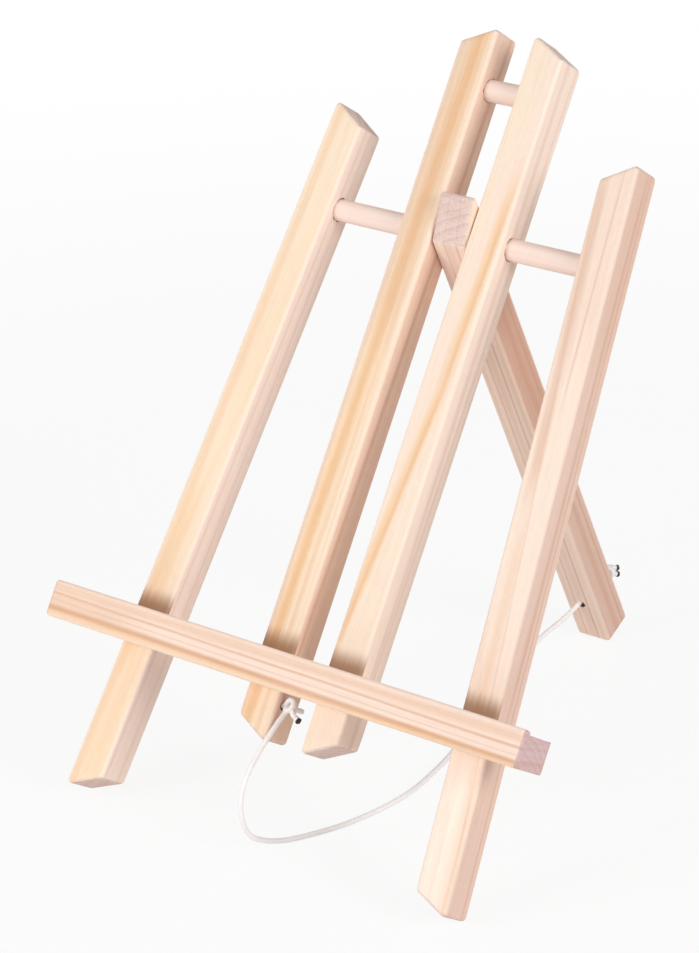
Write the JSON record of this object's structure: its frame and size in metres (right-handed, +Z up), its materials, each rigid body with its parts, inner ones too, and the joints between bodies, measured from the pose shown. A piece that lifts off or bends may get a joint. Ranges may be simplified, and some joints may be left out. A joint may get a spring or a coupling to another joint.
{
  "type": "tabletop easel",
  "caption": "Folding tabletop artist easel in raw pine: splayed side legs, centre posts, lipped tray and a hinged rear leg on a slack stop cord.",
  "frame": {"origin": "on the floor, under the middle of the standing easel's box (its cord and knots left out)", "axes": "+Z up, +X to the easel's right seen from the front, +Y to its back; the tray faces -Y"},
  "size_m": [0.202, 0.2314, 0.2591],
  "materials": {
    "pine": "raw sanded, unvarnished",
    "dowel_wood": "raw turned, unvarnished",
    "brad_steel": "bright wire",
    "white_cord": "round braided, waxed"
  },
  "bodies": {
    "easel_frame": {"left_leg": "pine", "right_leg": "pine", "left_post": "pine", "right_post": "pine", "tray": "pine", "top_dowel": "dowel_wood", "pivot_dowel": "dowel_wood", "left_leg_brad": "brad_steel", "right_leg_brad": "brad_steel", "left_post_brad": "brad_steel", "right_post_brad": "brad_steel", "front_knot": "white_cord", "front_loop": "white_cord", "cord": "white_cord"},
    "prop": {"rear_leg": "pine", "rear_knot": "white_cord"}
  },
  "joints": [
    {"name": "rear_leg_hinge", "type": "hinge", "parent": "easel_frame", "child": "prop", "pos_m": [0, 0.01311, 0.1926], "axis": [1, 0, 0], "range_deg": [-54, 31], "deforming": ["cord"]}
  ]
}
